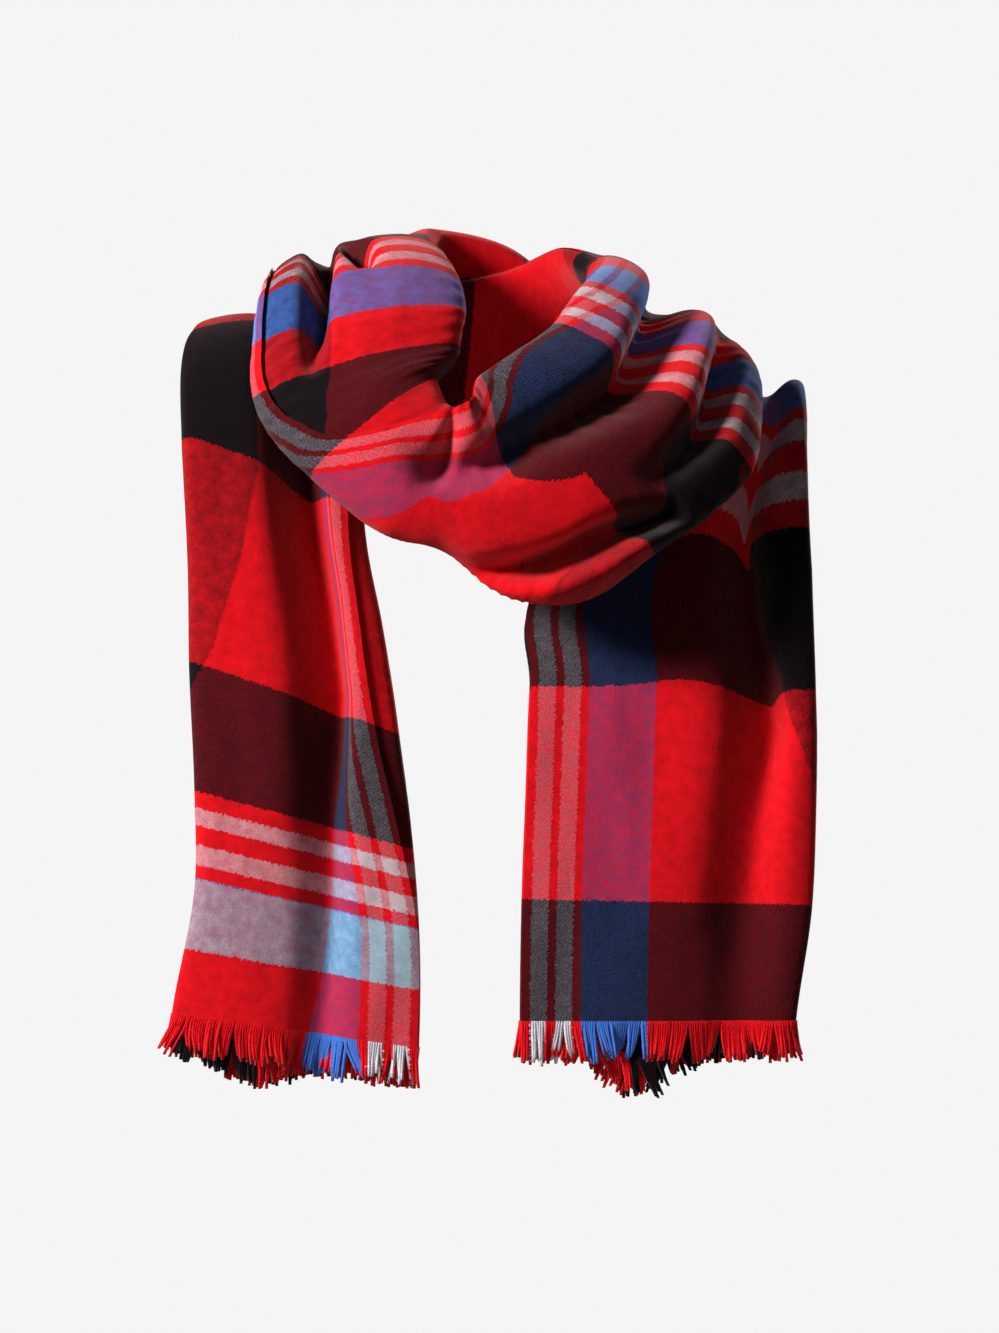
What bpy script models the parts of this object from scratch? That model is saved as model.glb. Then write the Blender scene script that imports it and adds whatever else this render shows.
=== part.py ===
"""Worn blanket scarf: one long plaid cloth, rolled into a loose band, hung over the left shoulder,
taken behind the neck, across the chest, back over the left shoulder, behind the neck again and down
the right side. Lengths are in centimetres until a mesh is made. The right and left are a viewer's."""

from math import pi

import bpy
import numpy as np

for item in list(bpy.data.objects):
    bpy.data.objects.remove(item, do_unlink=True)

CLOTH_LONG = 222.5      # hem to hem, measured along the warp
FRINGE_LONG = 3.0       # the cut warp ends past each hem
WALL = 0.12             # the brushed cloth's thickness
SEAM = 0.03             # gap between one stretch and the next
TURNS = 2.4             # turns of the rolled cloth that are modelled, from its free edge inwards
FACETS = 12             # facets in one turn
CREASE_DEPTH = 0.62     # share of a crease's full depth that these plain solids take

# The way the band travels. The middle is the middle of the band's outer face, "across" points
# towards the edge nearest the neck, and the free edge is counted in from that same edge.
PATH = [
    # along     middle x, y, z         across x, y, z   wide  deep  free edge
    (-3.0,  -13.2, -12.3, -49.8,    .990,  .00, -.14,   15.9,  2.4,   0.2),
    (0.0,   -13.0, -12.3, -47.2,    .990,  .00, -.14,   15.7,  2.4,   0.2),
    (8.8,   -12.3, -12.3, -39.4,    .974,  .00, -.22,   14.4,  2.4,   0.2),
    (14.2,  -12.5, -12.2, -34.3,    .966,  .00, -.26,   14.2,  2.5,   0.5),
    (22.5,  -13.1, -11.6, -26.8,    .944,  .00, -.33,   13.9,  2.8,   1.0),
    (29.5,  -13.6, -10.4, -19.8,    .930,  .05, -.36,   13.0,  2.8,   1.1),
    (36.3,  -14.2,  -8.0, -12.9,    .916,  .15, -.40,   12.4,  2.6,   0.8),
    (44.5,  -14.6,  -2.8,  -3.4,    .96,   .20, -.20,   10.8,  2.6,   0.2),
    (50.3,  -14.2,   2.4,  -3.2,    .93,   .10, -.20,   10.2,  2.4,   0.2),
    (57.0,  -11.6,   6.7,  -4.6,    .70,  -.30,  .40,    9.4,  2.2,   0.2),
    (64.0,   -5.8,   8.0,  -4.8,    .20,  -.30,  .93,    9.4,  2.2,   0.2),
    (70.5,    0.3,   8.6,  -3.8,    .00,  -.30,  .95,    9.4,  2.2,   0.2),
    (77.0,    5.8,   7.0,  -2.0,   -.45,  -.30,  .80,   10.0,  2.7,   0.2),
    (83.3,    9.2,   3.0,  -1.0,   -.75,  -.15,  .62,   11.4,  3.6,   0.2),
    (89.0,   10.9,  -1.4,  -1.6,   -.82,   .00,  .57,   12.4,  4.0,   0.2),
    (97.8,   10.8,  -8.4,  -4.2,   -.82,   .00,  .57,   14.4,  4.4,   0.0),
    (103.2,   9.6, -12.0,  -7.6,   -.80,   .05,  .60,   15.7,  4.6,  -1.2),
    (108.0,   6.8, -14.2, -10.2,   -.76,   .05,  .66,   16.0,  4.8,  -1.6),
    (111.5,   4.0, -15.6, -12.4,   -.69,   .05,  .72,   16.2,  5.0,  -0.2),
    (115.0,   0.8, -16.3, -14.4,   -.42,   .05,  .90,   15.0,  5.2,   0.0),
    (118.5,  -3.0, -16.6, -13.8,    .00,   .05, 1.00,   11.2,  5.4,   0.3),
    (122.0,  -6.0, -16.2, -12.2,    .47,   .15,  .88,    9.6,  5.2,   1.4),
    (125.3,  -8.2, -15.2,  -9.5,    .78,   .20,  .62,   10.4,  5.0,   7.2),
    (129.0,  -9.0, -14.5,  -7.9,    .88,   .12,  .43,   12.0,  5.0,  10.6),
    (133.5,  -9.4, -13.4,  -5.9,    .965,  .05,  .25,   13.6,  5.0,  12.7),
    (137.9,  -9.4, -12.0,  -3.0,    .98,   .00,  .17,   13.9,  5.0,  13.0),
    (142.3,  -9.4,  -9.2,  -0.1,    .97,   .00,  .10,   13.2,  4.8,  12.4),
    (147.7,  -9.8,  -4.4,   1.9,    .94,  -.05,  .12,   11.6,  4.6,  10.6),
    (153.5, -10.2,   2.2,   1.8,    .90,  -.20,  .22,   10.4,  4.0,   8.0),
    (160.5,  -7.6,  10.8,  -0.2,    .50,  -.35,  .80,    9.8,  3.0,   5.0),
    (167.0,   0.3,  13.0,  -2.6,    .00,  -.30,  .95,   10.0,  2.8,   2.5),
    (173.0,   8.5,  12.2,  -6.0,   -.62,  -.30,  .62,   10.0,  2.6,   1.0),
    (179.0,  13.0,   6.6,  -7.6,   -.93,  -.12,  .02,   10.6,  2.4,   0.4),
    (184.0,  12.6,  -0.5,  -7.8,   -.96,   .00, -.22,   11.5,  2.5,   0.2),
    (188.0,  12.2,  -5.0, -11.0,   -.96,   .00, -.26,   12.6,  2.5,   0.2),
    (192.2,  10.4,  -8.0, -17.4,   -.98,   .00, -.18,   16.6,  2.6,   0.2),
    (200.5,  10.2, -11.0, -26.0,  -1.0,    .00,  .00,   18.1,  2.8,   0.2),
    (207.0,   9.9, -12.0, -32.5,  -1.0,    .00,  .00,   18.7,  2.8,   0.2),
    (214.3,   9.8, -12.3, -39.2,  -1.0,    .00,  .02,   18.8,  2.6,   0.2),
    (222.5,   9.2, -12.3, -46.6,  -1.0,    .00,  .00,   17.6,  2.4,   0.2),
    (225.5,   9.0, -12.3, -49.3,  -1.0,    .00,  .00,   17.3,  2.4,   0.2),
]

# The long creases that sink into the band's outer face. The place is counted from the edge nearest
# the neck, the sink is a share of the band's depth, and the lean moves the bottom sideways.
CREASES = {
    "left_valley": [
        # along  place  half wide  sink  lean
        (-3.0,   6.9,   1.5,   .50,   .3),
        (0.0,    6.7,   1.5,   .55,   .3),
        (15.0,   6.2,   1.4,   .60,   .6),
        (24.0,   4.2,   1.0,   .74,  1.4),
        (36.0,   3.5,   0.9,   .76,  1.4),
        (46.0,   3.5,   1.0,   .60,  1.0),
        (54.0,   4.0,   1.0,   .00,   .0),
    ],
    "neck_valley": [
        (78.0,   6.0,   1.2,   .00,   .0),
        (87.0,   5.6,   1.2,   .65,   .6),
        (98.0,   6.2,   1.3,   .74,  1.0),
        (106.0,  6.2,   1.3,   .70,  1.0),
        (112.0,  5.6,   1.3,   .35,   .5),
        (120.0,  4.5,   1.2,   .35,   .3),
        (124.0,  4.0,   1.0,   .00,   .0),
    ],
    "outer_valley": [
        (86.0,   9.2,   0.8,   .00,   .0),
        (95.0,  10.4,   0.8,   .50,   .5),
        (104.0, 11.5,   0.9,   .50,   .5),
        (110.0, 12.0,   1.0,   .00,   .0),
    ],
    "roll_crease": [
        (106.0, 13.0,   0.8,   .00,   .0),
        (111.0, 12.6,   0.9,   .50,   .6),
        (115.0, 11.4,   1.0,   .72,   .8),
        (118.5,  9.6,   0.9,   .66,   .6),
        (121.5,  7.4,   0.8,   .30,   .0),
        (123.5,  6.0,   0.8,   .00,   .0),
    ],
    "bundle_crease": [
        (134.0,  9.0,   0.7,   .00,   .0),
        (140.0,  9.4,   0.6,   .50,   .3),
        (147.0,  8.6,   0.6,   .55,   .2),
        (155.0,  7.0,   0.7,   .00,   .0),
    ],
    "bundle_pinch": [
        (143.0,  5.6,   0.5,   .00,   .0),
        (146.0,  5.6,   0.5,   .35,   .0),
        (152.0,  5.2,   0.6,   .00,   .0),
    ],
    "right_valley": [
        (165.0,  9.0,   1.0,   .00,   .0),
        (172.0,  8.6,   1.0,   .20,   .0),
        (180.0,  8.0,   1.2,   .40,   .0),
        (189.0,  9.2,   1.2,   .60,   .6),
        (196.0, 13.2,   1.2,   .76,  1.0),
        (203.0, 13.6,   1.3,   .70,   .8),
        (210.0, 13.6,   1.8,   .45,   .3),
        (225.5, 13.6,   2.2,   .35,   .0),
    ],
}

# Each stretch that shows, from hem to hem.
STRETCHES = [
    # name             from    to      steps
    ("left_fringe",    -3.0,    0.0,    1),
    ("left_drop",       0.0,   40.0,    8),
    ("nape_under",     40.0,   80.0,   10),
    ("front_ridges",   80.0,  112.0,   10),
    ("front_roll",    112.0,  126.0,    8),
    ("left_bundle",   126.0,  150.0,    9),
    ("nape_over",     150.0,  176.0,    9),
    ("right_shoulder", 176.0, 190.0,    5),
    ("right_drop",    190.0,  222.5,    8),
    ("right_fringe",  222.5,  225.5,    1),
]

CLOTH_RED = (0.55, 0.03, 0.035, 1.0)
FRINGE_RED = (0.48, 0.03, 0.035, 1.0)


def smooth(along, table):
    """The columns of a table at some distances along, on a smooth curve through its rows."""
    rows = np.array(table, float)
    x, y = rows[:, 0], rows[:, 1:]
    step = np.diff(x)[:, None]
    slope = np.diff(y, axis=0) / step
    lean = np.empty_like(y)
    lean[1:-1] = (slope[:-1] * step[1:] + slope[1:] * step[:-1]) / (step[1:] + step[:-1])
    lean[0] = slope[0]
    lean[-1] = slope[-1]
    i = np.clip(np.searchsorted(x, along, side="right") - 1, 0, len(x) - 2)
    h = step[i]
    t = (along - x[i])[:, None] / h
    start = (2 * t**3 - 3 * t**2 + 1) * y[i] + (t**3 - 2 * t**2 + t) * h * lean[i]
    end = (3 * t**2 - 2 * t**3) * y[i + 1] + (t**3 - t**2) * h * lean[i + 1]
    return start + end


def band(along):
    """The band's frame at some distances along: middle, across, outward, and its wide, deep, free."""
    first, last = PATH[0][0], PATH[-1][0]
    row = smooth(along, PATH)
    ahead = smooth(np.clip(along + 0.5, first, last), PATH)[:, :3]
    behind = smooth(np.clip(along - 0.5, first, last), PATH)[:, :3]
    outward = np.cross(row[:, 3:6], ahead - behind)
    outward /= np.linalg.norm(outward, axis=1)[:, None]
    across = row[:, 3:6] / np.linalg.norm(row[:, 3:6], axis=1)[:, None]
    return row[:, :3], across, outward, row[:, 6], row[:, 7], row[:, 8]


def power(value, exponent):
    return np.sign(value) * np.abs(value) ** exponent


def roundness(deep):
    """The exponent of the section's outline: 2 is an ellipse, more is squarer."""
    return np.clip(2.0 + 1.1 * (5.0 - deep) / 2.6, 2.0, 3.2)


def free_angle(wide, deep, free):
    """Where round the section the free edge lies."""
    part = np.clip((wide / 2 - abs(free)) / (wide / 2), -1, 1)
    angle = np.arccos(np.clip(power(part, roundness(deep) / 2), -1, 1))
    return angle if free >= 0 else -angle


def creases_at(along):
    found = []
    for rows in CREASES.values():
        table = np.array(rows)
        if table[0, 0] <= along <= table[-1, 0]:
            found.append([np.interp(along, table[:, 0], table[:, k]) for k in range(1, 5)])
    return found


def creased(along, wide, deep, angle, inset):
    """Points of one ply: a flattened ring set in from the outline, with the creases sunk into it."""
    p = roundness(deep)
    across = (wide / 2 - inset) * power(np.cos(angle), 2 / p)
    high = (deep / 2 - inset) * power(np.sin(angle), 2 / p) + deep / 2
    flat = across.copy()
    left = np.ones_like(high)
    for place, half, sink, lean in creases_at(along):
        off = flat - (wide / 2 - place)
        keep = 1 - CREASE_DEPTH * sink * np.exp(-(off / half) ** 2)
        high = high * keep
        left = left * keep
        down = np.sin(pi * np.clip(1 - high / deep, 0, 1))
        across = across + CREASE_DEPTH * lean * down * np.exp(-(off / (3 * half)) ** 2)
    return across, high - deep, left


def facet_angles(along, wide, deep, free):
    """The angles of the facets' corners in one turn, closer together at the creases and edges."""
    start = free_angle(wide, deep, free)
    angle = start + np.linspace(0, 2 * pi, 241)
    across, high, left = creased(along, wide, deep, angle, np.zeros_like(angle))
    middle = 0.5 * (across[1:] + across[:-1])
    front = 0.5 * (high[1:] + high[:-1]) > -0.75 * deep
    weight = 1 + 1.2 * np.exp(-((wide / 2 - np.abs(middle)) / (0.35 * deep)) ** 2)
    for place, half, sink, lean in creases_at(along):
        off = middle - (wide / 2 - place)
        weight = weight + front * 3.0 * sink * np.exp(-(off / (1.2 * half)) ** 2)
    share = np.cumsum(weight * np.hypot(np.diff(across), np.diff(high)))
    share = np.concatenate([[0], share]) / share[-1]
    return np.interp(np.arange(FACETS) / FACETS, share, angle)


def ring(along, middle, across, outward, wide, deep, free):
    """One closed ring of the wall: out along the ply's outer side and back along its inner side."""
    corners = int(round(TURNS * FACETS)) + 1
    turn = facet_angles(along, wide, deep, free)
    angle = np.array([turn[k % FACETS] + 2 * pi * (k // FACETS) for k in range(corners)])
    pitch = (0.5 * deep - 0.22) / TURNS
    inset = pitch * (angle - angle[0]) / (2 * pi)
    kept = creased(along, wide, deep, angle, inset)[2]
    wall = np.minimum(WALL / kept, 0.62 * pitch)
    outer = creased(along, wide, deep, angle, inset)[:2]
    inner = creased(along, wide, deep, angle, inset + wall)[:2]
    side = np.concatenate([outer[0], inner[0][::-1]])
    high = np.concatenate([outer[1], inner[1][::-1]])
    return middle + side[:, None] * across + high[:, None] * outward


def stretch(name, start, end, steps, colour):
    """One stretch of the rolled cloth, as a closed wall with flat ends."""
    gap_start = 0.0 if start == PATH[0][0] else SEAM / 2
    gap_end = 0.0 if end == PATH[-1][0] else SEAM / 2
    along = np.linspace(start + gap_start, end - gap_end, steps + 1)
    frames = zip(along, *band(along))
    rings = np.array([ring(*frame) for frame in frames]) / 100
    count = rings.shape[1]
    half = count // 2
    faces = []
    for i in range(steps):
        for k in range(count):
            a = i * count + k
            b = i * count + (k + 1) % count
            if k < half:
                faces.append((a, b + count, b))
                faces.append((a, a + count, b + count))
            else:
                faces.append((a, a + count, b))
                faces.append((b, a + count, b + count))
    last = steps * count
    for k in range(half - 1):
        a, b, c, d = k, k + 1, count - 2 - k, count - 1 - k
        faces.append((a, c, d))
        faces.append((a, b, c))
        faces.append((last + a, last + d, last + c))
        faces.append((last + a, last + c, last + b))
    mesh = bpy.data.meshes.new(name)
    mesh.from_pydata(rings.reshape(-1, 3).tolist(), [], faces)
    mesh.validate()
    item = bpy.data.objects.new(name, mesh)
    bpy.context.scene.collection.objects.link(item)
    material = bpy.data.materials.new(name)
    material.use_nodes = True
    shader = material.node_tree.nodes["Principled BSDF"]
    shader.inputs["Base Color"].default_value = colour
    shader.inputs["Roughness"].default_value = 0.85
    mesh.materials.append(material)
    return item


for name, start, end, steps in STRETCHES:
    colour = FRINGE_RED if name.endswith("fringe") else CLOTH_RED
    stretch(name, start, end, steps, colour)
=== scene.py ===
"""A worn blanket scarf: one plaid cloth, brushed and fringed, rolled into a loose band and wound
round the neck. Left and right are a viewer's. Cloth sizes are in centimetres until a mesh is made."""

from math import pi

import bpy
import numpy as np
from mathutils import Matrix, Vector


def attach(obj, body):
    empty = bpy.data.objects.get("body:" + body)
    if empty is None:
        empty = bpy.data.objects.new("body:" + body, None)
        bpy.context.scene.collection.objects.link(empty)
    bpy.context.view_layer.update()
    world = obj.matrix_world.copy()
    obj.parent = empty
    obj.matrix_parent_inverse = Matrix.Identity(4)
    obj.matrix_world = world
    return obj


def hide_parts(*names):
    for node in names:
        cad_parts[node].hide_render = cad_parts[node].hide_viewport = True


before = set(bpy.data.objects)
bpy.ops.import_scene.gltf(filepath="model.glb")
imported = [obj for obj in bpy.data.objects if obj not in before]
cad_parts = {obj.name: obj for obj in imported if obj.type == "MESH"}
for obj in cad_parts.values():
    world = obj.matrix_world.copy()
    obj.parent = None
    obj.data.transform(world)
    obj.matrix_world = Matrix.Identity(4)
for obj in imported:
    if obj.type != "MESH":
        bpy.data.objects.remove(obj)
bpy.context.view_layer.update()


# ---------------------------------------------------------------- left drop
# The end that hangs on the left, from its hem up to the shoulder. The cloth is a soft wool-like
# twill, 65.4 cm wide, rolled lengthwise into two and a half to three turns with the striped
# selvage out, so the band has a free edge beside the neck and a long valley down its face.

CLOTH_WIDE = 65.4
CLOTH_LONG = 222.5
CLOTH_THICK = 0.11
SELVAGE_THIN = 0.4

# The way the band travels. The middle is the middle of the band's outer face, "across" points
# towards the edge nearest the neck, and the free edge is counted in from that same edge, below
# nothing where it lies on round the corner, on the inner face.
PATH = [
    # along     middle x, y, z         across x, y, z   wide  deep  free edge
    (-3.0,  -13.2, -12.3, -49.8,    .990,  .00, -.14,   15.9,  2.4,   0.2),
    (0.0,   -13.0, -12.3, -47.2,    .990,  .00, -.14,   15.7,  2.4,   0.2),
    (8.8,   -12.3, -12.3, -39.4,    .974,  .00, -.22,   14.4,  2.4,   0.2),
    (14.2,  -12.5, -12.2, -34.3,    .966,  .00, -.26,   14.2,  2.5,   0.8),
    (22.5,  -13.1, -11.6, -26.8,    .944,  .00, -.33,   13.9,  2.8,   1.7),
    (29.5,  -13.6, -10.4, -19.8,    .930,  .05, -.36,   13.0,  2.8,   1.8),
    (36.3,  -14.2,  -8.0, -12.9,    .916,  .15, -.40,   12.4,  2.6,   1.4),
    (44.5,  -14.6,  -2.8,  -3.4,    .96,   .20,  .02,   10.8,  2.6,   0.2),
    (50.3,  -14.2,   2.4,  -3.2,    .93,   .10,  .02,   10.2,  2.4,   0.2),
    (57.0,  -11.6,   6.7,  -4.6,    .70,  -.30,  .40,    9.4,  2.2,   0.2),
    (64.0,   -5.8,   8.0,  -4.8,    .20,  -.30,  .93,    9.4,  2.2,   0.2),
    (70.5,    0.3,   8.6,  -3.8,    .00,  -.30,  .95,    9.4,  2.2,   0.2),
    (77.0,    5.8,   7.0,  -2.0,   -.45,  -.30,  .80,   10.0,  2.7,   0.2),
    (83.3,    9.7,   3.0,  -1.5,   -.75,  -.15,  .62,   11.2,  3.6,   0.2),
    (89.0,   10.9,  -1.4,  -1.6,   -.82,   .00,  .57,   12.4,  4.0,   0.2),
    (97.8,   10.8,  -8.4,  -4.2,   -.82,   .00,  .57,   14.4,  4.4,   0.0),
    (103.2,   9.6, -12.0,  -7.6,   -.80,   .05,  .60,   15.7,  4.6,  -1.2),
    (108.0,   6.8, -14.2, -10.2,   -.76,   .05,  .66,   16.0,  4.8,  -1.6),
    (111.5,   4.0, -15.6, -12.4,   -.69,   .05,  .72,   16.2,  5.0,  -0.2),
    (115.0,   0.8, -16.3, -14.5,   -.40,   .05,  .90,   15.4,  5.2,   0.0),
    (116.7,  -1.0, -16.5, -14.5,   -.20,   .05,  .98,   13.6,  5.3,   0.1),
    (118.5,  -3.0, -16.6, -13.4,    .05,   .05, 1.00,   10.4,  5.4,   0.3),
    (122.0,  -6.0, -16.2, -12.2,    .47,   .15,  .88,    9.6,  5.2,   1.4),
    (125.3,  -8.2, -15.2,  -9.5,    .78,   .20,  .62,   10.4,  5.0,   7.2),
    (129.0,  -9.0, -14.5,  -7.9,    .88,   .12,  .43,   12.0,  5.0,  10.6),
    (133.5,  -9.4, -13.4,  -5.9,    .965,  .05,  .25,   13.6,  5.0,  13.1),
    (137.9,  -9.4, -12.0,  -3.0,    .98,   .00,  .17,   13.9,  5.0,  13.6),
    (142.3,  -9.4,  -9.2,  -0.1,    .97,   .00,  .10,   13.2,  4.8,  13.0),
    (147.7,  -9.8,  -4.4,   1.9,    .94,  -.05,  .12,   11.6,  4.6,  11.5),
    (153.5, -10.2,   2.2,   1.8,    .90,  -.20,  .22,   10.4,  4.0,  10.0),
    (160.5,  -7.6,  10.8,  -0.2,    .50,  -.35,  .80,    9.8,  3.0,   6.5),
    (167.0,   0.3,  13.0,  -2.6,    .00,  -.30,  .95,   10.0,  2.8,   2.5),
    (173.0,   8.5,  12.2,  -6.0,   -.62,  -.30,  .62,   10.0,  2.6,   1.0),
    (179.0,  13.0,   6.6,  -7.6,   -.93,  -.12,  .02,   10.6,  2.4,   0.4),
    (184.0,  12.6,  -0.5,  -7.8,   -.96,   .00, -.22,   11.5,  2.5,   0.2),
    (188.0,  12.2,  -5.0, -11.0,   -.96,   .00, -.26,   12.6,  2.5,   0.2),
    (192.2,  10.0,  -8.0, -17.4,   -.98,   .00, -.18,   17.2,  2.6,   0.2),
    (200.5,   9.7, -11.0, -26.0,  -1.0,    .00,  .00,   18.0,  2.8,   0.2),
    (207.0,   9.6, -12.0, -32.5,  -1.0,    .00,  .00,   18.3,  2.8,   0.2),
    (214.3,   9.4, -12.3, -39.2,  -1.0,    .00,  .02,   18.3,  2.6,   0.2),
    (222.5,   8.9, -12.3, -46.6,  -1.0,    .00,  .00,   17.4,  2.4,   0.2),
    (225.5,   8.8, -12.3, -49.3,  -1.0,    .00,  .00,   17.2,  2.4,   0.2),
]

# The long creases that sink into the band's outer face. The place is counted from the edge nearest
# the neck, the sink is a share of the band's depth (below nothing where the cloth swells instead),
# the lean moves the bottom sideways, and the tuck is the width of cloth that disappears in the crease.
CREASES = {
    # down the left drop's face and on to the shoulder
    "left_valley": [
        # along  place  half wide  sink  lean   tuck
        (-3.0,   6.9,   1.5,   .50,   .3,   0.5),
        (0.0,    6.7,   1.5,   .55,   .3,   0.5),
        (15.0,   6.1,   1.4,   .74,   .9,   3.4),
        (24.0,   5.0,   1.4,   .88,  1.3,   9.2),
        (30.0,   4.9,   1.5,   .88,  1.5,  11.8),
        (36.0,   4.8,   1.5,   .88,  1.5,  13.4),
        (46.0,   4.4,   1.2,   .55,  1.0,  13.8),
        (54.0,   4.4,   1.0,   .00,   .0,   0.0),
    ],
    # between the two fat ridges on the chest
    "neck_valley": [
        (78.0,   6.0,   1.2,   .00,   .0,   0.0),
        (87.0,   5.6,   1.3,   .80,   .8,   3.5),
        (98.0,   6.3,   1.4,   .88,  1.2,   4.5),
        (106.0,  6.3,   1.4,   .84,  1.2,   3.5),
        (112.0,  5.6,   1.3,   .42,   .5,   1.5),
        (120.0,  4.5,   1.2,   .35,   .2,   0.5),
        (124.0,  4.0,   1.0,   .00,   .0,   0.0),
    ],
    # between the outer fat ridge and the third, thin one
    "outer_valley": [
        (86.0,   9.2,   0.8,   .00,   .0,   0.0),
        (95.0,  10.4,   0.9,   .64,   .5,   2.0),
        (104.0, 11.5,   1.0,   .62,   .5,   2.0),
        (110.0, 12.0,   1.0,   .00,   .0,   0.0),
    ],
    # along the bottom of the front roll, and the lip of cloth that swells beside it
    "roll_crease": [
        (108.5, 14.3,   0.7,   .00,   .0,   0.0),
        (110.8, 13.8,   0.9,   .76,  1.0,   1.0),
        (113.0, 13.1,   0.9,   .88,  1.5,   1.3),
        (115.0, 12.4,   0.9,   .76,  1.1,   1.0),
        (117.5, 11.0,   0.8,   .34,   .2,   0.3),
        (120.0,  9.2,   0.6,   .00,   .0,   0.0),
    ],
    "roll_lip": [
        (108.5, 15.5,   0.8,   .00,   .0,   0.0),
        (110.8, 15.2,   0.9,  -.32,   .0,   0.0),
        (113.0, 14.8,   0.9,  -.40,   .0,   0.0),
        (115.0, 14.1,   0.9,  -.32,   .0,   0.0),
        (118.0, 12.6,   0.9,   .00,   .0,   0.0),
    ],
    # the two pinches that gather the bundle's top
    "bundle_crease": [
        (133.0,  9.6,   0.6,   .00,   .0,   0.0),
        (138.0,  9.7,   0.7,   .66,   .3,   0.9),
        (142.3,  9.2,   0.7,   .84,   .4,   1.0),
        (147.5,  7.9,   0.7,   .84,   .3,   1.0),
        (152.0,  7.0,   0.7,   .50,   .2,   0.6),
        (156.0,  6.4,   0.7,   .00,   .0,   0.0),
    ],
    "bundle_pinch": [
        (142.5,  6.0,   0.6,   .00,   .0,   0.0),
        (146.5,  5.9,   0.7,   .84,   .2,   0.8),
        (152.0,  5.4,   0.6,   .00,   .0,   0.0),
    ],
    # over the right shoulder and down the right drop, beside its outer edge
    "right_valley": [
        (165.0,  9.0,   1.0,   .00,   .0,   0.0),
        (172.0,  8.6,   1.0,   .20,   .0,   7.0),
        (180.0,  8.0,   1.2,   .40,   .0,  13.0),
        (189.0, 10.4,   1.3,   .60,   .0,  11.5),
        (194.0, 13.7,   1.5,   .88,  -.6,   7.6),
        (203.0, 14.6,   1.6,   .88,  -.8,   3.5),
        (209.0, 14.2,   1.8,   .64,  -.5,   2.0),
        (222.5, 13.6,   2.2,   .40,   .0,   1.5),
        (225.5, 13.6,   2.2,   .40,   .0,   1.5),
    ],
}

# Folds that cross the band's outer face, from one place across it to another. They fade in and out
# at their ends, and the slant moves them along for each centimetre across.
CROSS_FOLDS = [
    # along  half  from   to   sink  slant
    (119.5,  1.1,  -2.0,  6.5,  .42,  0.15),
]
FOLD_FADE_IN = 2
FOLD_FADE_OUT = 3

# The width of cloth that the band's inner face gains, or loses where it is below nothing, as the
# band turns up into the bundle.
SLIP = [
    # along  width
    (118.0,  0.0),
    (126.0, -3.0),
    (146.0, -4.0),
    (160.0,  0.0),
]

# How far the free edge is lifted, from where the roll would have it to the level of the outer face.
EDGE_LIFT = [
    # along  share
    (8.0,    0.8),
    (22.0,   0.3),
    (40.0,   0.3),
    (50.0,   0.8),
    (68.0,   0.8),
    (78.0,   0.0),
    (94.0,   0.0),
    (108.0,  0.8),
]
EDGE_LIFT_FADE = 2.6

# Small gathers across the band's inner face, where the loop turns and the cloth there is too long.
GATHERS = [
    # along  depth
    (80.0,   0.0),
    (90.0,   0.27),
    (148.0,  0.27),
    (158.0,  0.0),
]
GATHER_LONG = 1.9

# Soft waves that lift and sink the outer face.
WAVES = [
    # seed  size  height
    (3,     2.6,  0.16),
    (5,     1.1,  0.06),
]

# The roll where it is cut through. The exponent of its outline is an oval's where the band is FAT,
# and grows by SQUARER for each THINNER centimetres less.
FAT = 5.0
THINNER = 2.6
OVAL = 2.0
SQUARER = 1.1
SQUAREST = 3.2

# The spiral is drawn longer than the cloth needs, and ends where the cloth does. Its plies take up
# a share of the depth from either face, and the free edge lies close on the ply under it.
SPARE = 1.25
PLIES_DEEP = 0.43
HEART = 0.465
EDGE_PLY = 0.15
EDGE_PLY_FADE = 5
ROLL_POINTS = 900

# Cloth tucked away in a crease goes in near its bottom, over a share of the crease's half width.
TUCK_HALF = 0.38
TUCK_AREA = 0.674
TUCK_LEAN = 0.8

# A row's columns: each radian of bend counts as half a centimetre of cloth, and inside the outer
# turn they stand further apart.
COLUMNS = 230
BEND_COUNTS = 0.5
OUTER_TURN = 34
INNER_COUNTS = 0.65
BEND_SMOOTHED = 9


def power(value, exponent):
    """A power that keeps the value's sign."""
    return np.sign(value) * np.abs(value) ** exponent


def between(along, table):
    """The second column of a table at a distance along, straight between its rows."""
    places, values = np.transpose(table)
    return np.interp(along, places, values)


def summed(steps):
    """The running total of some steps, from nothing."""
    return np.concatenate([[0], np.cumsum(steps)])


def smooth(along, table):
    """The columns of a table at some distances along, on a smooth curve through its rows."""
    rows = np.array(table, float)
    x, y = rows[:, 0], rows[:, 1:]
    step = np.diff(x)[:, None]
    slope = np.diff(y, axis=0) / step
    lean = np.empty_like(y)
    lean[1:-1] = (slope[:-1] * step[1:] + slope[1:] * step[:-1]) / (step[1:] + step[:-1])
    lean[0] = slope[0]
    lean[-1] = slope[-1]
    i = np.clip(np.searchsorted(x, along, side="right") - 1, 0, len(x) - 2)
    h = step[i]
    t = (along - x[i])[:, None] / h
    start = (2 * t**3 - 3 * t**2 + 1) * y[i] + (t**3 - 2 * t**2 + t) * h * lean[i]
    end = (3 * t**2 - 2 * t**3) * y[i + 1] + (t**3 - t**2) * h * lean[i + 1]
    return start + end


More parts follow.
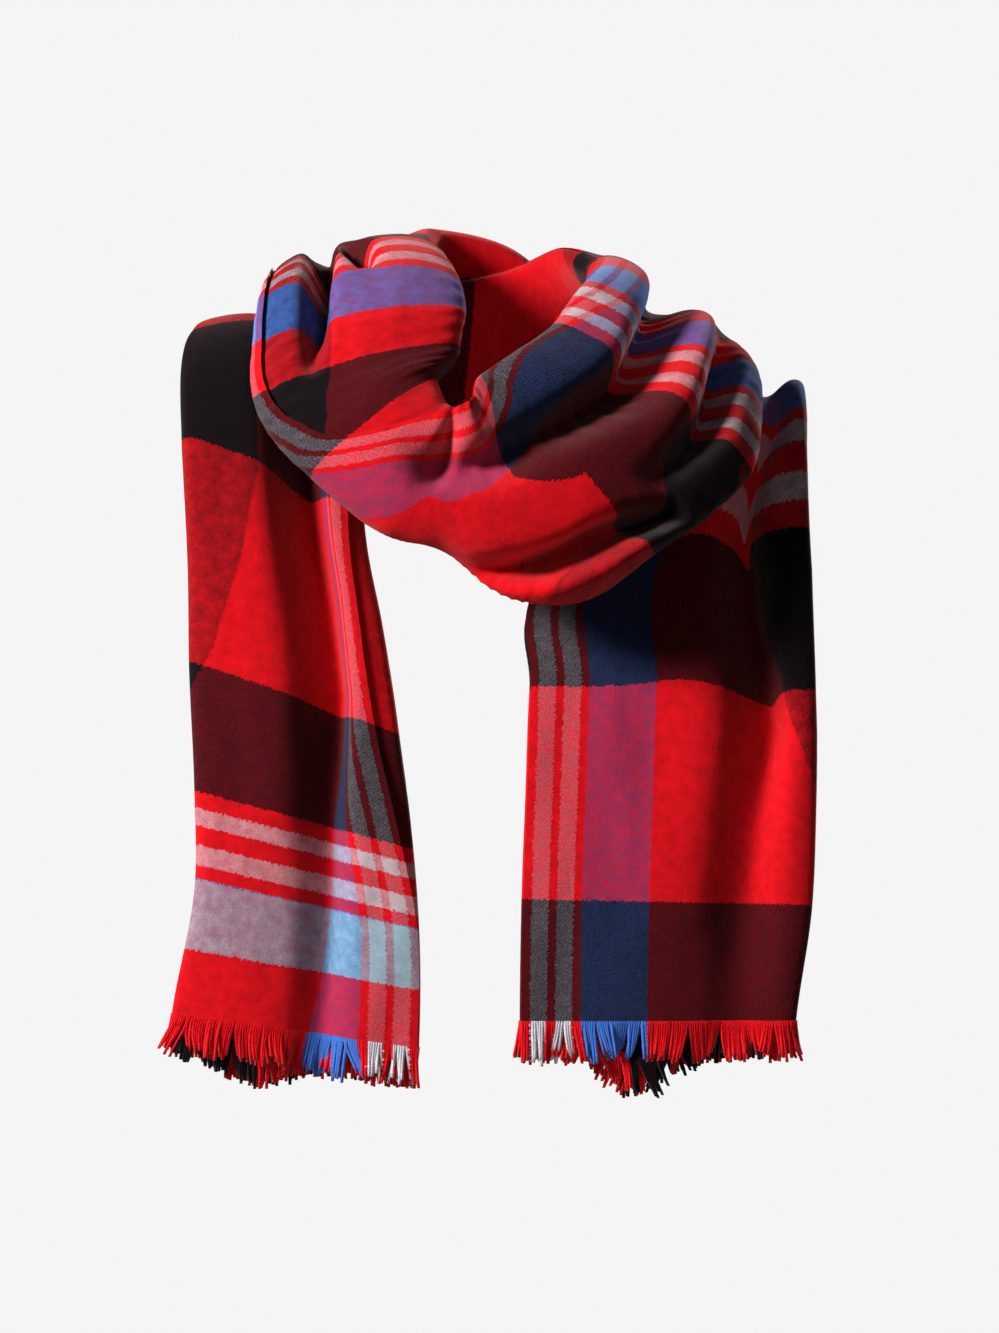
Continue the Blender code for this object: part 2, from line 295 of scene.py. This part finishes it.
def band(along):
    """The band's frame at some distances along: middle, across, outward, and its wide, deep, free.
    The free edge's place is smoothed as a square root, so that it stays near the corner longer."""
    first, last = PATH[0][0], PATH[-1][0]
    table = np.array(PATH)
    table[:, -1] = power(table[:, -1], 0.5)
    row = smooth(along, table)
    ahead = smooth(np.clip(along + 0.5, first, last), PATH)[:, :3]
    behind = smooth(np.clip(along - 0.5, first, last), PATH)[:, :3]
    outward = np.cross(row[:, 3:6], ahead - behind)
    outward /= np.linalg.norm(outward, axis=1)[:, None]
    across = row[:, 3:6] / np.linalg.norm(row[:, 3:6], axis=1)[:, None]
    return row[:, :3], across, outward, row[:, 6], row[:, 7], power(row[:, 8], 2)


def creases_at(along):
    """The creases that cross one distance along: place, half width, sink, lean and tuck of each."""
    found = []
    for rows in CREASES.values():
        table = np.array(rows)
        if table[0, 0] <= along <= table[-1, 0]:
            found.append([np.interp(along, table[:, 0], table[:, k]) for k in range(1, 6)])
    return found


def puckers(seed, size, along, across):
    """Soft uneven waves, about one size across and three sizes along, between -1 and 1. Their patch
    is larger than the band, and starts before its first hem and beside its edge."""
    patch_long, patch_wide = 240, 60
    before, beside = 6, 25
    rng = np.random.default_rng(seed)
    grid = rng.uniform(-1, 1, (int(patch_long / (3 * size)) + 4, int(patch_wide / size) + 4))
    row = (along + before) / (3 * size)
    column = (across + beside) / size
    i, j = int(row), np.floor(column).astype(int)
    s = row - i
    t = column - j
    s = s * s * (3 - 2 * s)
    t = t * t * (3 - 2 * t)
    near = grid[i, j] * (1 - t) + grid[i, j + 1] * t
    far = grid[i + 1, j] * (1 - t) + grid[i + 1, j + 1] * t
    return near * (1 - s) + far * s


def smooth_roll(wide, deep, free):
    """The roll cut through, with no crease in it: a flattened spiral from the free edge inwards. Each
    point has its angle, its place across, and its place out from the middle of the band's depth."""
    square = np.clip(OVAL + SQUARER * (FAT - deep) / THINNER, OVAL, SQUAREST)
    part = np.clip((wide / 2 - abs(free)) / (wide / 2), -1, 1)
    start = np.arccos(np.clip(power(part, square / 2), -1, 1)) * (1 if free >= 0 else -1)
    turns = SPARE * CLOTH_WIDE / (2 * wide + 0.6 * deep)
    pitch = PLIES_DEEP * deep / turns
    angle = start + np.linspace(0, SPARE * 2 * pi * turns, ROLL_POINTS)
    inset = np.minimum(pitch * (angle - start) / (2 * pi), HEART * deep)
    inset = inset + (pitch - EDGE_PLY) * np.exp(-((angle - start) * wide / EDGE_PLY_FADE) ** 2)
    across = (wide / 2 - inset) * power(np.cos(angle), 2 / square)
    out = (deep / 2 - inset) * power(np.sin(angle), 2 / square)
    return angle, across, out


def creased(along, wide, deep, angle, flat, high):
    """Sinks the folds that cross one place into the roll. Gives where each point then lies, across
    and above the inner face, and the cloth that is tucked away there for each centimetre across."""
    front = (angle < pi) & (np.sin(angle) > 0)
    back = (np.sin(angle) < 0) & (angle > 0) & (angle < 2 * pi)
    extra = back * between(along, SLIP) / wide
    near = wide / 2 - flat
    for place, half, start, end, sink, slant in CROSS_FOLDS:
        off = along - place - slant * near
        inside = np.clip((near - start) / FOLD_FADE_IN, 0, 1) * np.clip((end - near) / FOLD_FADE_OUT, 0, 1)
        high = high * (1 - sink * inside * np.exp(-(off / half) ** 2))
    across = flat
    for place, half, sink, lean, tuck in creases_at(along):
        off = flat - (wide / 2 - place)
        high = high * (1 - sink * np.exp(-(off / half) ** 2))
        across = across + lean * np.clip(1 - high / deep, 0, 1) * np.exp(-(off / (3 * half)) ** 2)
        hidden = off - TUCK_LEAN * lean
        tucked = np.exp(-(hidden / (TUCK_HALF * half)) ** 2) / (TUCK_AREA * half)
        extra = extra + front * tuck * tucked
    return across, high, extra


def in_columns(width, across, out):
    """The cloth from selvage to selvage in its columns, which crowd together where it bends and
    spread out inside the roll: how far across the cloth each is, and where it lies."""
    turn = np.abs(np.diff(np.unwrap(np.arctan2(np.diff(out), np.diff(across)))))
    turn = np.concatenate([turn[:1], turn, turn[-1:]])
    turn = np.convolve(turn, np.ones(BEND_SMOOTHED) / BEND_SMOOTHED, "same")[: len(out) - 1]
    detail = np.hypot(np.diff(across), np.diff(out)) + BEND_COUNTS * turn
    detail = summed(detail * np.where(width[1:] < OUTER_TURN, 1.0, INNER_COUNTS))
    last = np.searchsorted(width, CLOTH_WIDE) + 1
    end = np.interp(CLOTH_WIDE, width[:last], detail[:last])
    places = np.linspace(0, end, COLUMNS)
    return [np.interp(places, detail, row) for row in (width, across, out)]


def edge_lift(along, free):
    """How far the free edge is lifted. It is lifted less where it lies well in from the corner, and
    not at all on the inner face."""
    well_in = np.clip(1 - (free - 3) / 5, 0.2, 1)
    outside = np.clip((free + 0.3) / 0.5, 0, 1)
    return between(along, EDGE_LIFT) * well_in * outside


def rolled(along, wide, deep, free):
    """The rolled band where it is cut through: how far across the cloth each of its columns is, and
    where it lies, across and out from the band's outer face."""
    angle, flat, out = smooth_roll(wide, deep, free)
    run = summed(np.hypot(np.diff(flat), np.diff(out)))
    across, high, extra = creased(along, wide, deep, angle, flat, out + deep / 2)
    out = (high - deep) * (1 - edge_lift(along, free) * np.exp(-(run / EDGE_LIFT_FADE) ** 2))
    step = np.hypot(np.diff(across), np.diff(out))
    step = step + 0.5 * (extra[1:] + extra[:-1]) * np.abs(np.diff(flat))
    width = summed(np.maximum(step, 1e-4))
    share = np.clip(high / deep, 0, 1)
    wave = sum(height * puckers(seed, size, along, across) for seed, size, height in WAVES)
    bunch = np.sin(2 * pi * (along + 1.6 * puckers(8, 3.2, along, across)) / GATHER_LONG)
    bunch = between(along, GATHERS) * bunch * (1 + 0.5 * puckers(9, 2.2, along, across))
    out = out + share * wave + (1 - share) ** 1.6 * bunch
    return in_columns(width, across, out)


# The cloth is worked out once, row by row from hem to hem.
ROWS = 743
ALONG = np.linspace(0, CLOTH_LONG, ROWS)
MIDDLE, ACROSS, OUTWARD, WIDE, DEEP, FREE = band(ALONG)
CLOTH = np.empty((ROWS, COLUMNS, 3))
WIDTHS = np.empty((ROWS, COLUMNS))

# At a hem the inner plies hang a little below the outer turn, over part of the band.
HEM_DROPS = [
    # hem         middle  half   drop
    (0.0,          -2.6,   2.8,   1.3),
    (CLOTH_LONG,    1.1,   2.4,   2.2),
]
HEM_DROP_HIGH = 14
INNER_PLIES = 17

for i, along in enumerate(ALONG):
    WIDTHS[i], side, out = rolled(along, WIDE[i], DEEP[i], FREE[i])
    CLOTH[i] = MIDDLE[i] + side[:, None] * ACROSS[i] + out[:, None] * OUTWARD[i]
    for hem, middle, half, drop in HEM_DROPS:
        near_hem = np.clip(1 - abs(along - hem) / HEM_DROP_HIGH, 0, 1) ** 2
        inner = np.clip((WIDTHS[i] - INNER_PLIES) / 6, 0, 1) * np.exp(-(((side - middle) / half) ** 2))
        CLOTH[i, :, 2] -= drop * near_hem * inner
FACING = np.cross(np.gradient(CLOTH, axis=0), np.gradient(CLOTH, axis=1))
FACING /= np.maximum(np.linalg.norm(FACING, axis=2), 1e-9)[:, :, None]

# Yarn colours, as seen in plain light, from 0 to 1.
RED = (0.935, 0.085, 0.130)
BLACK = (0.095, 0.070, 0.090)
BLUE = (0.280, 0.470, 0.830)
PALE_GREY = (0.880, 0.850, 0.880)
PINK_GREY = (0.860, 0.730, 0.755)
AQUA = (0.600, 0.765, 0.840)

# Stripes of the warp, from the striped selvage to the far one.
WARP = [
    # width  yarn
    (0.35, RED), (1.0, PALE_GREY), (0.6, RED), (1.0, PALE_GREY), (0.45, RED), (4.2, BLUE),
    (13.5, RED), (8.2, BLACK), (13.5, RED), (8.2, BLACK), (13.9, RED), (0.5, PALE_GREY),
]

# Bars of the weft, repeated five times from hem to hem.
WEFT = [
    # length yarn
    (4.4, RED), (4.4, BLUE), (0.8, RED), (1.35, PINK_GREY), (1.2, RED), (1.05, PINK_GREY),
    (1.0, RED), (8.3, BLACK), (13.8, RED), (8.2, BLACK),
]
REPEAT = 44.5

# The left end has a paler bar where the other repeats have a blue one.
PALE_BAR = (4.4, 8.8)

# How far apart the twill's fine diagonal ridges lie.
TWILL_RIDGE = 0.26


def node(tree, kind, *inputs, **settings):
    """Adds a shader node, sets its named settings and feeds its inputs in order."""
    item = tree.nodes.new(kind)
    for name, value in settings.items():
        setattr(item, name, value)
    for socket, value in zip(item.inputs, inputs):
        if isinstance(value, bpy.types.NodeSocket):
            tree.links.new(value, socket)
        elif value is not None:
            socket.default_value = value
    return item


def maths(tree, operation, *inputs):
    """The result of a sum on sockets or plain values."""
    return node(tree, "ShaderNodeMath", *inputs, operation=operation).outputs[0]


def blend(tree, share, one, two):
    """Mixes two colours: the first where the share is 0, the second where it is 1."""
    item = tree.nodes.new("ShaderNodeMix")
    item.data_type = "RGBA"
    for socket, value in ((item.inputs[0], share), (item.inputs[6], one), (item.inputs[7], two)):
        if isinstance(value, bpy.types.NodeSocket):
            tree.links.new(value, socket)
        else:
            socket.default_value = value
    return item.outputs[2]


def stripes(tree, place, table):
    """A ramp of hard stripes, whose place runs from 0 to 1 over the whole table."""
    ramp = node(tree, "ShaderNodeValToRGB", place)
    ramp.color_ramp.interpolation = "CONSTANT"
    stops = ramp.color_ramp.elements
    stops.remove(stops[1])
    total = sum(width for width, yarn in table)
    at = 0.0
    for width, yarn in table:
        stop = stops.new(at / total) if at else stops[0]
        stop.color = (*yarn, 1.0)
        at += width
    return ramp.outputs["Color"]


def dyed(tree, yarns, worn):
    """The yarns' seen colour turned into a dye's strength, a little paler or deeper with wear."""
    item = blend(tree, 1.0, yarns, worn)
    item.node.blend_type = "MULTIPLY"
    return node(tree, "ShaderNodeGamma", item, 2.2).outputs[0]


def fluff(tree, uv, scale, detail, roughness):
    """Uneven fibres, as a noise that lies on the cloth's own map. The scale is for a metre."""
    noise = node(tree, "ShaderNodeTexNoise", uv, None, scale, detail, roughness)
    noise.noise_dimensions = "2D"
    return noise


def cloth_coordinates(tree, fuzz):
    """The cloth's own map, and centimetres across and along it, feathered as brushed yarn is."""
    uv = node(tree, "ShaderNodeUVMap", uv_map="cloth").outputs["UV"]
    haze = node(tree, "ShaderNodeSeparateColor", fluff(tree, uv, 520.0, 2.0, 0.6).outputs["Color"])
    parts = node(tree, "ShaderNodeSeparateXYZ", uv)
    found = [uv]
    for k in range(2):
        shift = maths(tree, "MULTIPLY", maths(tree, "SUBTRACT", haze.outputs[k], 0.5), fuzz)
        found.append(maths(tree, "ADD", maths(tree, "MULTIPLY", parts.outputs[k], 100.0), shift))
    return found


def brushed_yarn(name):
    """A material with the finish of brushed yarn: dull, with a faint warm bloom at a slant."""
    material = bpy.data.materials.new(name)
    material.use_nodes = True
    shader = material.node_tree.nodes["Principled BSDF"]
    shader.inputs["Roughness"].default_value = 0.95
    shader.inputs["Specular IOR Level"].default_value = 0.06
    shader.inputs["Sheen Weight"].default_value = 0.14
    shader.inputs["Sheen Roughness"].default_value = 0.45
    shader.inputs["Sheen Tint"].default_value = (1.0, 0.72, 0.70, 1.0)
    return material, material.node_tree, shader


def plaid_twill():
    """Brushed two-and-two twill in plaid: warp and weft yarns mixed by a fine diagonal."""
    material, tree, shader = brushed_yarn("brushed_plaid_twill")
    uv, u, v = cloth_coordinates(tree, fuzz=0.42)
    warp = stripes(tree, maths(tree, "DIVIDE", u, CLOTH_WIDE), WARP)
    weft = stripes(tree, maths(tree, "FRACT", maths(tree, "DIVIDE", v, REPEAT)), WEFT)
    past_start = maths(tree, "GREATER_THAN", v, PALE_BAR[0])
    before_end = maths(tree, "LESS_THAN", v, PALE_BAR[1])
    weft = blend(tree, maths(tree, "MULTIPLY", past_start, before_end), weft, (*AQUA, 1.0))
    diagonal = maths(tree, "FRACT", maths(tree, "DIVIDE", maths(tree, "ADD", u, v), TWILL_RIDGE))
    ridge = maths(tree, "PINGPONG", maths(tree, "MULTIPLY", diagonal, 2.0), 1.0)
    fibre = fluff(tree, uv, 1700.0, 3.0, 0.7).outputs["Fac"]
    tuft = fluff(tree, uv, 130.0, 4.0, 0.62).outputs["Fac"]
    share = maths(tree, "ADD", maths(tree, "MULTIPLY", ridge, 0.20), maths(tree, "MULTIPLY", fibre, 0.50))
    share = maths(tree, "ADD", share, maths(tree, "MULTIPLY", tuft, 0.30))
    share = node(tree, "ShaderNodeClamp", maths(tree, "ADD", share, 0.20)).outputs[0]
    worn = maths(tree, "ADD", 0.72, maths(tree, "MULTIPLY", tuft, 0.26))
    tree.links.new(dyed(tree, blend(tree, share, warp, weft), worn), shader.inputs["Base Color"])
    height = maths(tree, "ADD", maths(tree, "MULTIPLY", ridge, 0.25), maths(tree, "MULTIPLY", fibre, 0.8))
    height = maths(tree, "ADD", height, maths(tree, "MULTIPLY", tuft, 0.9))
    bump = node(tree, "ShaderNodeBump")
    bump.inputs["Strength"].default_value = 0.55
    bump.inputs["Distance"].default_value = 0.0012
    tree.links.new(height, bump.inputs["Height"])
    tree.links.new(bump.outputs["Normal"], shader.inputs["Normal"])
    return material


PLAID = plaid_twill()


def cloth_piece(name, points, faces, weave, smooth, material):
    """A piece from its points and faces, with the weave's own map, all in centimetres until here."""
    mesh = bpy.data.meshes.new(name)
    mesh.from_pydata((points.reshape(-1, 3) / 100).tolist(), [], faces.tolist())
    layer = mesh.uv_layers.new(name="cloth")
    layer.data.foreach_set("uv", (weave.reshape(-1, 2)[faces.ravel()] / 100).ravel())
    mesh.polygons.foreach_set("use_smooth", smooth)
    mesh.materials.append(material)
    item = bpy.data.objects.new(name, mesh)
    bpy.context.scene.collection.objects.link(item)
    return item


def cloth_wall(name, points, normals, weave):
    """A closed wall of cloth from a grid of points, thinner at its two long edges, with smooth
    shading on both faces and none round the rim."""
    rows, columns = points.shape[:2]
    half = np.full((1, columns, 1), CLOTH_THICK / 2)
    half[:, [0, -1]] *= SELVAGE_THIN
    shell = np.concatenate([points + half * normals, points - half * normals])
    back = rows * columns
    grid = np.arange(back).reshape(rows, columns)
    a, b = grid[:-1, :-1].ravel(), grid[:-1, 1:].ravel()
    c, d = grid[1:, 1:].ravel(), grid[1:, :-1].ravel()
    faces = [np.stack([a, d, c, b], 1), np.stack([a, b, c, d], 1) + back]
    for rim in (grid[0, ::-1], grid[:, 0], grid[-1], grid[::-1, -1]):
        faces.append(np.stack([rim[:-1], rim[1:], rim[1:] + back, rim[:-1] + back], 1))
    faces = np.concatenate(faces)
    on_face = np.arange(len(faces)) < 2 * len(a)
    item = cloth_piece(name, shell, faces, np.concatenate([weave, weave]), on_face, PLAID)
    both = np.concatenate([normals, -normals]).reshape(-1, 3)[faces.ravel()]
    item.data.normals_split_custom_set((both * np.repeat(on_face, 4)[:, None]).tolist())
    return item


# Where the cloth has slid on the bias, round the front roll and in the right drop's crease: the
# middle of it along the band, how long it is to either side, and how far the weave has slid.
ROLL_SLIDE = (113.5, 5, 3.6)
DROP_SLIDE = (196, 7, 1.3)


def skewed(along, widths):
    """How far along the cloth the weave is, at some distances along the band and widths of cloth."""
    place, half, far = ROLL_SLIDE
    slid = np.clip((widths - 0.5) / 3, 0, 1) * np.clip((13 - widths) / 4.5, 0, 1)
    along = along - far * slid * np.exp(-((along - place) / half) ** 2)
    place, half, far = DROP_SLIDE
    sunk = np.exp(-(((widths - 16.5) / 3.0) ** 2)) - 0.45 * np.exp(-(((widths - 9.0) / 2.5) ** 2))
    return along - far * sunk * np.exp(-(((along - place) / half) ** 2))


def stretch(name, start, end):
    """One stretch of the cloth, between two distances along, in place of its plain solid."""
    first = int(np.argmin(np.abs(ALONG - start)))
    last = int(np.argmin(np.abs(ALONG - end))) + 1
    u = WIDTHS[first:last]
    v = np.repeat(ALONG[first:last, None], COLUMNS, axis=1)
    weave = np.stack([u, skewed(v, u)], 2)
    item = cloth_wall(name + "_cloth", CLOTH[first:last], FACING[first:last], weave)
    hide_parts(name)
    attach(item, "root")


stretch("left_drop", 0.0, 40.0)


# ---------------------------------------------------------------- nape, under layer
# The same rolled cloth goes on over the left shoulder and round behind the neck, where the band
# narrows. It is the first layer there, and rests on the wearer.

stretch("nape_under", 40.0, 80.0)


# ---------------------------------------------------------------- front ridges
# From the right of the neck the band fans out down the chest, as two fat ridges and a third thin
# one, with deep valleys between. The free edge turns over beside the neck.

stretch("front_ridges", 80.0, 112.0)


# ---------------------------------------------------------------- front roll
# The bottom of the loop: the band rolls under itself and turns up towards the left shoulder. A lip
# of cloth swells beside the crease along it, and small gathers take up the cloth on its inner side.

stretch("front_roll", 112.0, 126.0)


# ---------------------------------------------------------------- left bundle
# The fat bundle that climbs back over the left shoulder. The striped free edge has come round to
# its outer side, and two pinches gather its top.

stretch("left_bundle", 126.0, 150.0)


# ---------------------------------------------------------------- nape, over layer
# The band goes behind the neck once more, over the first layer, and down to the right shoulder. Its
# own weight and the layer under it hold it there.

stretch("nape_over", 150.0, 176.0)


# ---------------------------------------------------------------- right shoulder and drop
# It passes under the outer ridge, over the right shoulder, and spreads into the right hanging end,
# which hangs free down to its hem with one long crease near its outer edge.

stretch("right_shoulder", 176.0, 190.0)
stretch("right_drop", 190.0, 222.5)


# ---------------------------------------------------------------- fringes
# Past each hem the weft stops and the cut warp ends hang loose, about 3 cm long. They are the same
# soft yarn in the warp's own stripes, and cling together in small clumps.

FRINGE_LONG = 2.8
STRANDS = 430
STRAND_THICK = 0.12
STRAND_STEPS = 5
STRAND_SIDES = 4

# Strands hang in clumps of about CLUMP. By its end a strand has drawn in by GATHERED of the way to
# its clump's middle, and the clumps spread and curl and the strands sway by a few millimetres.
CLUMP = 6.4
GATHERED = 0.28
SPREAD = 0.30
CURL = 0.06
SWAY = 0.07
TAPER = 0.20
ROOT_INSIDE = 0.12


def fringe_yarn():
    """Soft yarn in the warp's own stripes, with no weft."""
    material, tree, shader = brushed_yarn("fringe_yarn")
    uv, u, v = cloth_coordinates(tree, fuzz=0.15)
    warp = stripes(tree, maths(tree, "DIVIDE", u, CLOTH_WIDE), WARP)
    fibre = fluff(tree, uv, 900.0, 3.0, 0.7).outputs["Fac"]
    worn = maths(tree, "ADD", 0.64, maths(tree, "MULTIPLY", fibre, 0.42))
    tree.links.new(dyed(tree, warp, worn), shader.inputs["Base Color"])
    return material


FRINGE = fringe_yarn()


def hem_points(row, widths):
    """Where some widths of the cloth lie in one of its rows."""
    return np.stack([np.interp(widths, WIDTHS[row], CLOTH[row, :, k]) for k in range(3)], 1)


def hanging(rng, root, along):
    """The rings of points down each strand. A strand follows the cloth and then gravity, tapers a
    little, and leans towards the middle of its clump."""
    clump = np.floor((np.arange(STRANDS) + 2 * rng.uniform(-1, 1, STRANDS)) / CLUMP + 0.5).astype(int)
    clumps = clump.max() + 1
    middle = np.stack([np.bincount(clump, root[:, k]) for k in range(3)], 1)
    middle = (middle / np.bincount(clump)[:, None])[clump]
    spread = rng.normal(0, SPREAD, (clumps, 3))[clump]
    spread[:, 2] = 0
    sway = rng.normal(0, SWAY, (STRANDS, 3))
    long = FRINGE_LONG * rng.uniform(0.80, 1.0, STRANDS) * rng.uniform(0.82, 1.0, clumps)[clump]
    turn = np.linspace(0, 2 * pi, STRAND_SIDES, endpoint=False)
    circle = np.stack([np.cos(turn), np.sin(turn), 0 * turn], 1)
    rings = []
    for step in range(STRAND_STEPS + 1):
        share = step / STRAND_STEPS
        down = along * (1 - 0.5 * share) + np.array([0, 0, -0.5 * share])
        centre = root - ROOT_INSIDE * along + (long * share)[:, None] * down
        centre = centre + GATHERED * share**0.8 * (middle - root) + share**1.5 * (spread + sway)
        centre = centre + CURL * np.sin(5 * share + clump)[:, None] * spread
        thick = STRAND_THICK * (1.0 - TAPER * share**2)
        rings.append(centre[:, None, :] + circle[None] * thick)
    return np.stack(rings, 1)


def strand_faces():
    """The faces of all the strands: the sides between the rings, and a cap at either end."""
    grid = np.arange(STRANDS * (STRAND_STEPS + 1) * STRAND_SIDES)
    grid = grid.reshape(STRANDS, STRAND_STEPS + 1, STRAND_SIDES)
    faces = []
    for rings in grid.tolist():
        for upper, lower in zip(rings[:-1], rings[1:]):
            for k in range(STRAND_SIDES):
                after = (k + 1) % STRAND_SIDES
                faces.append((upper[k], lower[k], lower[after], upper[after]))
        faces.append(rings[0])
        faces.append(rings[-1][::-1])
    return np.array(faces)


def fringe(name, hem, inward, sheet_end, seed):
    """Loose warp ends from one hem, in place of the fringe's plain solid. The hem's row and one a
    little inward give the way that the cloth hangs there."""
    rng = np.random.default_rng(seed)
    widths = np.linspace(0.05, CLOTH_WIDE - 0.05, STRANDS)
    root = hem_points(hem, widths)
    along = root - hem_points(inward, widths)
    along /= np.linalg.norm(along, axis=1)[:, None]
    points = hanging(rng, root, along)
    weave = np.empty((STRANDS, STRAND_STEPS + 1, STRAND_SIDES, 2))
    weave[..., 0] = widths[:, None, None]
    down = 0.5 * np.arange(STRAND_STEPS + 1)
    weave[..., 1] = down[None, :, None] + rng.uniform(0, 30, STRANDS)[:, None, None]
    faces = strand_faces()
    item = cloth_piece(name, points, faces, weave, np.ones(len(faces), bool), FRINGE)
    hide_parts(sheet_end)
    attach(item, "root")


fringe("left_fringe_strands", 0, 2, "left_fringe", 11)
fringe("right_fringe_strands", -1, -3, "right_fringe", 12)


# ---------------------------------------------------------------- floor, light and camera
# A plain pale studio: a floor well below the wearer's shoulders, one broad light from the front
# left, weaker ones from the front and from behind, and a long lens at the height of the chest.

FLOOR_HEIGHT = -1.35
bpy.ops.object.select_all(action="DESELECT")
bpy.ops.mesh.primitive_circle_add(vertices=96, radius=1.8, fill_type="NGON", location=(0, 0, FLOOR_HEIGHT))
floor = bpy.context.object
floor.name = "studio_floor"
floor_paint = bpy.data.materials.new("pale_floor")
floor_paint.use_nodes = True
floor_tree = floor_paint.node_tree
paint = floor_tree.nodes["Principled BSDF"]
paint.inputs["Base Color"].default_value = (0.82, 0.82, 0.82, 1)
paint.inputs["Roughness"].default_value = 0.9
paint.inputs["Emission Color"].default_value = (1, 1, 1, 1)
looked_at = node(floor_tree, "ShaderNodeLightPath").outputs["Is Camera Ray"]
floor_tree.links.new(maths(floor_tree, "MULTIPLY", looked_at, 0.5), paint.inputs["Emission Strength"])
floor.data.materials.append(floor_paint)

LIGHTS = [
    # name          place              aimed at               wide  spread  watts
    ("key_light",   (-3.1, -1.9, 1.5), (-0.13, -0.12, -0.22), 1.2,   40,    17.5),
    ("fill_light",  (0.3, -3.3, -0.5), (0.0, 0.0, -0.30),     1.4,  180,     7.2),
    ("back_light",  (1.6, 3.0, 1.4),   (0.0, 0.05, -0.15),    1.2,   40,     9.0),
]


def soft_light(name, place, target, size, spread, watts):
    """A round soft box. Its spread is the angle of its beam in degrees."""
    light = bpy.data.lights.new(name, "AREA")
    light.shape = "DISK"
    light.size = size
    light.spread = np.radians(spread)
    light.energy = watts
    item = bpy.data.objects.new(name, light)
    bpy.context.scene.collection.objects.link(item)
    item.location = place
    item.rotation_euler = (Vector(place) - Vector(target)).to_track_quat("Z", "Y").to_euler()


for name, place, target, size, spread, watts in LIGHTS:
    soft_light(name, place, target, size, spread, watts)

# The studio's walls are white, but the light that comes back from them is weak.
WALLS_LIGHT = 0.07
WALLS_SEEN = 0.84
world = bpy.data.worlds.new("studio")
bpy.context.scene.world = world
world.use_nodes = True
sky = world.node_tree
seen = node(sky, "ShaderNodeLightPath").outputs["Is Camera Ray"]
strength = maths(sky, "ADD", maths(sky, "MULTIPLY", seen, WALLS_SEEN), WALLS_LIGHT)
sky.links.new(strength, sky.nodes["Background"].inputs["Strength"])
sky.nodes["Background"].inputs["Color"].default_value = (1, 1, 1, 1)
bpy.context.scene.view_settings.view_transform = "Standard"

camera_data = bpy.data.cameras.new("camera")
camera_data.sensor_fit = "VERTICAL"
camera_data.sensor_height = 36.0
camera_data.lens = 220.0
camera = bpy.data.objects.new("camera", camera_data)
bpy.context.scene.collection.objects.link(camera)
camera.location = (-0.0064, -5.08, -0.249)
camera.rotation_euler = (pi / 2, 0, 0)
bpy.context.scene.camera = camera

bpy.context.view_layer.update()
